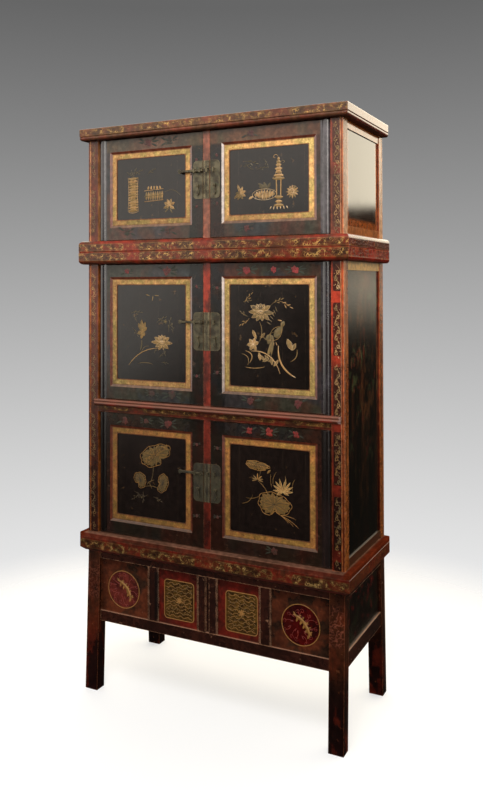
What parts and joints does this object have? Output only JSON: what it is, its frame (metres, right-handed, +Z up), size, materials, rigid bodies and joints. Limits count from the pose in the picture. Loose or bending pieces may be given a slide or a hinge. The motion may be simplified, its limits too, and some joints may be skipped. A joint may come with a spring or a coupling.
{
  "type": "compound wedding cabinet",
  "caption": "Tall lacquered cabinet in stacked units on a splayed stand, with pairs of pivoting doors, removable centre posts and sliding-bolt brass locks.",
  "frame": {"origin": "middle of the cabinet's bounding box, on the floor", "axes": "+X to the right of someone facing the doors, +Y towards the back, +Z up; the doors face -Y"},
  "size_m": [1.018, 0.467, 2],
  "materials": {
    "red_lacquer": "worn red-brown lacquer with gold ornament",
    "dark_lacquer": "dark green-black lacquer",
    "gilt_and_black": "black lacquer field inside a speckled gilt band",
    "centre_red": "brick red lacquer",
    "plain_wood": "bare wood with a thin brown wash",
    "brass": "aged brass"
  },
  "bodies": {
    "stand": {"leg_front_left": "red_lacquer", "leg_front_right": "red_lacquer", "leg_rear_left": "red_lacquer", "leg_rear_right": "red_lacquer", "stand_frame": "red_lacquer", "apron_rails": "red_lacquer", "apron_muntins": "red_lacquer", "apron_front_panels": "dark_lacquer", "apron_return_panels": "plain_wood"},
    "lower_cabinet": {"lower_base_frame": "red_lacquer", "lower_floor": "plain_wood", "lower_posts": "red_lacquer", "middle_rail": "red_lacquer", "shelf": "plain_wood", "lower_side_rails": "red_lacquer", "lower_side_panels": "dark_lacquer", "lower_back_panel": "plain_wood", "head_frame": "red_lacquer", "lower_top_board": "plain_wood"},
    "top_chest": {"chest_base_frame": "red_lacquer", "chest_floor": "plain_wood", "chest_posts": "red_lacquer", "chest_side_rails": "red_lacquer", "chest_side_panels": "dark_lacquer", "chest_back_panel": "plain_wood", "cornice_frame": "red_lacquer", "cornice_board": "plain_wood"},
    "lower_centre_post": {"lower_centre_post": "centre_red", "lower_centre_plate": "brass"},
    "lower_left_door": {"lower_left_door_frame": "dark_lacquer", "lower_left_door_panel": "gilt_and_black", "lower_left_lock_plate": "brass"},
    "lower_left_pull": {"lower_left_pull": "brass"},
    "lower_right_door": {"lower_right_door_frame": "dark_lacquer", "lower_right_door_panel": "gilt_and_black", "lower_right_lock_plate": "brass"},
    "lower_right_pull": {"lower_right_pull": "brass"},
    "lower_bolt": {"lower_bolt": "brass"},
    "middle_centre_post": {"middle_centre_post": "centre_red", "middle_centre_plate": "brass"},
    "middle_left_door": {"middle_left_door_frame": "dark_lacquer", "middle_left_door_panel": "gilt_and_black", "middle_left_lock_plate": "brass"},
    "middle_left_pull": {"middle_left_pull": "brass"},
    "middle_right_door": {"middle_right_door_frame": "dark_lacquer", "middle_right_door_panel": "gilt_and_black", "middle_right_lock_plate": "brass"},
    "middle_right_pull": {"middle_right_pull": "brass"},
    "middle_bolt": {"middle_bolt": "brass"},
    "top_centre_post": {"top_centre_post": "centre_red", "top_centre_plate": "brass"},
    "top_left_door": {"top_left_door_frame": "dark_lacquer", "top_left_door_panel": "gilt_and_black", "top_left_lock_plate": "brass"},
    "top_left_pull": {"top_left_pull": "brass"},
    "top_right_door": {"top_right_door_frame": "dark_lacquer", "top_right_door_panel": "gilt_and_black", "top_right_lock_plate": "brass"},
    "top_right_pull": {"top_right_pull": "brass"},
    "top_bolt": {"top_bolt": "brass"}
  },
  "joints": [
    {"name": "lower_cabinet_lift", "type": "slide", "parent": "stand", "child": "lower_cabinet", "axis": [0, 0, 1], "range_m": [0, 0.05]},
    {"name": "top_chest_lift", "type": "slide", "parent": "lower_cabinet", "child": "top_chest", "axis": [0, 0, 1], "range_m": [0, 0.05]},
    {"name": "lower_centre_post_lift", "type": "slide", "parent": "lower_cabinet", "child": "lower_centre_post", "axis": [0, 0, 1], "range_m": [0, 0.01]},
    {"name": "lower_left_door_hinge", "type": "hinge", "parent": "lower_cabinet", "child": "lower_left_door", "pos_m": [-0.4242, -0.1895, 0.554], "axis": [0, 0, -1], "range_deg": [0, 100]},
    {"name": "lower_left_pull_swing", "type": "hinge", "parent": "lower_left_door", "child": "lower_left_pull", "pos_m": [-0.032, -0.2084, 0.755], "axis": [-1, 0, 0], "range_deg": [0, 80]},
    {"name": "lower_right_door_hinge", "type": "hinge", "parent": "lower_cabinet", "child": "lower_right_door", "pos_m": [0.4242, -0.1895, 0.554], "axis": [0, 0, 1], "range_deg": [0, 100]},
    {"name": "lower_right_pull_swing", "type": "hinge", "parent": "lower_right_door", "child": "lower_right_pull", "pos_m": [0.032, -0.2084, 0.755], "axis": [-1, 0, 0], "range_deg": [0, 80]},
    {"name": "lower_bolt_slide", "type": "slide", "parent": "lower_left_door", "child": "lower_bolt", "axis": [1, 0, 0], "range_m": [0, 0.048]},
    {"name": "middle_centre_post_lift", "type": "slide", "parent": "lower_cabinet", "child": "middle_centre_post", "axis": [0, 0, 1], "range_m": [0, 0.01]},
    {"name": "middle_left_door_hinge", "type": "hinge", "parent": "lower_cabinet", "child": "middle_left_door", "pos_m": [-0.4242, -0.1895, 1.031], "axis": [0, 0, -1], "range_deg": [0, 100]},
    {"name": "middle_left_pull_swing", "type": "hinge", "parent": "middle_left_door", "child": "middle_left_pull", "pos_m": [-0.032, -0.2084, 1.2615], "axis": [-1, 0, 0], "range_deg": [0, 80]},
    {"name": "middle_right_door_hinge", "type": "hinge", "parent": "lower_cabinet", "child": "middle_right_door", "pos_m": [0.4242, -0.1895, 1.031], "axis": [0, 0, 1], "range_deg": [0, 100]},
    {"name": "middle_right_pull_swing", "type": "hinge", "parent": "middle_right_door", "child": "middle_right_pull", "pos_m": [0.032, -0.2084, 1.2615], "axis": [-1, 0, 0], "range_deg": [0, 80]},
    {"name": "middle_bolt_slide", "type": "slide", "parent": "middle_left_door", "child": "middle_bolt", "axis": [1, 0, 0], "range_m": [0, 0.048]},
    {"name": "top_centre_post_lift", "type": "slide", "parent": "top_chest", "child": "top_centre_post", "axis": [0, 0, 1], "range_m": [0, 0.01]},
    {"name": "top_left_door_hinge", "type": "hinge", "parent": "top_chest", "child": "top_left_door", "pos_m": [-0.4242, -0.1895, 1.595], "axis": [0, 0, -1], "range_deg": [0, 100]},
    {"name": "top_left_pull_swing", "type": "hinge", "parent": "top_left_door", "child": "top_left_pull", "pos_m": [-0.032, -0.2084, 1.7725], "axis": [-1, 0, 0], "range_deg": [0, 80]},
    {"name": "top_right_door_hinge", "type": "hinge", "parent": "top_chest", "child": "top_right_door", "pos_m": [0.4242, -0.1895, 1.595], "axis": [0, 0, 1], "range_deg": [0, 100]},
    {"name": "top_right_pull_swing", "type": "hinge", "parent": "top_right_door", "child": "top_right_pull", "pos_m": [0.032, -0.2084, 1.7725], "axis": [-1, 0, 0], "range_deg": [0, 80]},
    {"name": "top_bolt_slide", "type": "slide", "parent": "top_left_door", "child": "top_bolt", "axis": [1, 0, 0], "range_m": [0, 0.048]}
  ]
}
